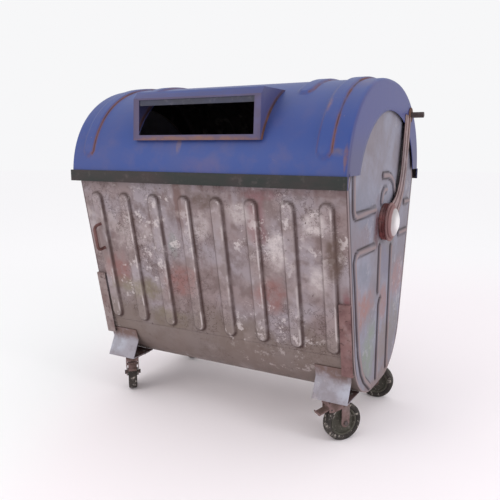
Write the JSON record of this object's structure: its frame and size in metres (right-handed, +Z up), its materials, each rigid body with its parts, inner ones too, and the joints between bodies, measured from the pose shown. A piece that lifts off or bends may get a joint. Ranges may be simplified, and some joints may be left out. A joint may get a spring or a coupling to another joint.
{
  "type": "wheeled waste container",
  "caption": "Four-wheeled steel waste container with ribbed walls, a domed lid that turns back about side trunnions and a hooded paper slot.",
  "frame": {"origin": "middle of the bounding box at floor level, under the middle of the container", "axes": "+Z up, +Y from the slot at the front to the back, +X to the right seen from the front"},
  "size_m": [1.384, 1.012, 1.459],
  "materials": {
    "galvanised": "matte, weathered zinc with rust stains",
    "rusty_steel": "matte, rusted",
    "zinc_cap": "satin",
    "lid_paint": "semi-gloss, faded blue with rust",
    "band_paint": "matte",
    "bush_plastic": "matte",
    "disc_paint": "matte, dusty",
    "tyre_rubber": "matte"
  },
  "bodies": {
    "container": {"front_wall": "galvanised", "rear_wall": "galvanised", "trough_floor": "galvanised", "side_panel_left": "galvanised", "side_panel_right": "galvanised", "rim_rail_front": "rusty_steel", "rim_rail_rear": "rusty_steel", "trunnion_boss_left": "rusty_steel", "trunnion_boss_right": "rusty_steel", "trunnion_shaft_left": "rusty_steel", "trunnion_shaft_right": "rusty_steel", "trunnion_cap_left": "zinc_cap", "trunnion_cap_right": "zinc_cap", "corner_guard_left": "rusty_steel", "corner_guard_right": "rusty_steel", "grab_handle": "rusty_steel", "caster_bracket_fl": "galvanised", "caster_bracket_fr": "galvanised", "caster_bracket_rl": "galvanised", "caster_bracket_rr": "galvanised", "caster_top_plates": "rusty_steel", "caster_bolts": "rusty_steel", "kingpins": "rusty_steel"},
    "lid": {"lid_dome": "lid_paint", "lid_cheek_left": "lid_paint", "lid_cheek_right": "lid_paint", "lid_arm_left": "rusty_steel", "lid_arm_right": "rusty_steel", "lid_hub_left": "rusty_steel", "lid_hub_right": "rusty_steel", "pivot_bush_left": "bush_plastic", "pivot_bush_right": "bush_plastic", "slot_hood": "lid_paint", "slot_lip": "band_paint", "edge_band_front": "band_paint", "edge_band_rear": "band_paint", "opener_pin_left": "rusty_steel", "opener_pin_right": "rusty_steel", "opener_plate_left": "rusty_steel", "opener_plate_right": "rusty_steel"},
    "caster_fl": {"fork_fl": "rusty_steel", "axle_fl": "rusty_steel", "brake_pin_fl": "rusty_steel"},
    "caster_fr": {"fork_fr": "rusty_steel", "axle_fr": "rusty_steel", "brake_pin_fr": "rusty_steel"},
    "caster_rl": {"fork_rl": "rusty_steel", "axle_rl": "rusty_steel"},
    "caster_rr": {"fork_rr": "rusty_steel", "axle_rr": "rusty_steel"},
    "rolling_fl": {"wheel_fl": "disc_paint", "tyre_fl": "tyre_rubber"},
    "rolling_fr": {"wheel_fr": "disc_paint", "tyre_fr": "tyre_rubber"},
    "rolling_rl": {"wheel_rl": "disc_paint", "tyre_rl": "tyre_rubber"},
    "rolling_rr": {"wheel_rr": "disc_paint", "tyre_rr": "tyre_rubber"},
    "brake_fl": {"brake_pedal_fl": "rusty_steel"},
    "brake_fr": {"brake_pedal_fr": "rusty_steel"}
  },
  "joints": [
    {"name": "lid_turn", "type": "hinge", "parent": "container", "child": "lid", "pos_m": [0, 0, 0.878], "axis": [-1, 0, 0], "range_deg": [0, 60]},
    {"name": "swivel_fl", "type": "hinge", "parent": "container", "child": "caster_fl", "pos_m": [-0.528, -0.262, 0.18], "axis": [0, 0, 1], "continuous": true},
    {"name": "swivel_fr", "type": "hinge", "parent": "container", "child": "caster_fr", "pos_m": [0.528, -0.262, 0.18], "axis": [0, 0, 1], "continuous": true},
    {"name": "swivel_rl", "type": "hinge", "parent": "container", "child": "caster_rl", "pos_m": [-0.515, 0.242, 0.18], "axis": [0, 0, 1], "continuous": true},
    {"name": "swivel_rr", "type": "hinge", "parent": "container", "child": "caster_rr", "pos_m": [0.515, 0.242, 0.18], "axis": [0, 0, 1], "continuous": true},
    {"name": "roll_fl", "type": "hinge", "parent": "caster_fl", "child": "rolling_fl", "pos_m": [-0.54728, -0.23902, 0.08], "axis": [-0.766, -0.6428, 0], "continuous": true},
    {"name": "roll_fr", "type": "hinge", "parent": "caster_fr", "child": "rolling_fr", "pos_m": [0.54647, -0.23836, 0.08], "axis": [-0.788, 0.6157, 0], "continuous": true},
    {"name": "roll_rl", "type": "hinge", "parent": "caster_rl", "child": "rolling_rl", "pos_m": [-0.53798, 0.26128, 0.08], "axis": [-0.6428, -0.766, 0], "continuous": true},
    {"name": "roll_rr", "type": "hinge", "parent": "caster_rr", "child": "rolling_rr", "pos_m": [0.54489, 0.24461, 0.08], "axis": [-0.0872, 0.9962, 0], "continuous": true},
    {"name": "brake_fl", "type": "hinge", "parent": "caster_fl", "child": "brake_fl", "pos_m": [-0.50486, -0.28958, 0.146], "axis": [0.766, 0.6428, 0], "range_deg": [0, 16]},
    {"name": "brake_fr", "type": "hinge", "parent": "caster_fr", "child": "brake_fr", "pos_m": [0.50584, -0.29037, 0.146], "axis": [0.788, -0.6157, 0], "range_deg": [0, 16]}
  ]
}
